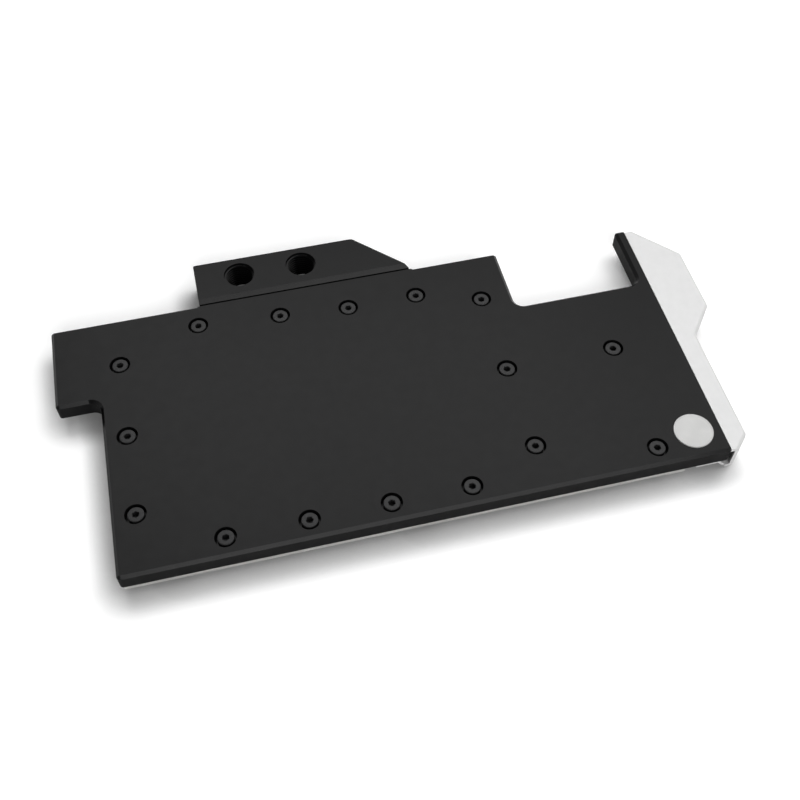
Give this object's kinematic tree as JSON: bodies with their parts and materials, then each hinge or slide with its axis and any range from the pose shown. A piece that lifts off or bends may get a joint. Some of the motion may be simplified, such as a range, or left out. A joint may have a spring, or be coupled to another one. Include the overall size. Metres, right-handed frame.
{
  "type": "gpu water block",
  "caption": "Full-cover water block for a graphics card, with a black acetal top, plated cold plate, terminal with threaded ports and a folded metal side cover.",
  "frame": {"origin": "middle of the cold plate's raised face that touches the graphics chip", "axes": "+X along the card from the bracket end to the side cover, +Y across the card towards the terminal, +Z away from the circuit board"},
  "size_m": [0.2736, 0.1421, 0.0151],
  "materials": {
    "black_plastic": "machined black acetal, satin",
    "plated_copper": "copper with bright nickel plating",
    "thin_steel": "thin stainless sheet",
    "seal_rubber": "black moulded rubber",
    "black_screws": "steel with dull black coating",
    "standoff_brass": "turned brass with nickel plating",
    "cover_sheet": "bead-blasted clear anodised sheet",
    "badge_metal": "satin metal disc",
    "pad_foam": "thin adhesive pad"
  },
  "bodies": {
    "root": {"top_plate": "black_plastic", "cold_plate": "plated_copper", "jet_plate": "thin_steel", "main_seal": "seal_rubber", "top_screws": "black_screws", "terminal": "black_plastic", "inlet_seal": "seal_rubber", "outlet_seal": "seal_rubber", "terminal_screws": "black_screws", "core_standoffs": "standoff_brass", "board_standoffs": "standoff_brass", "side_cover": "cover_sheet", "cover_screws": "black_screws", "badge": "badge_metal", "badge_pad": "pad_foam"}
  },
  "joints": []
}
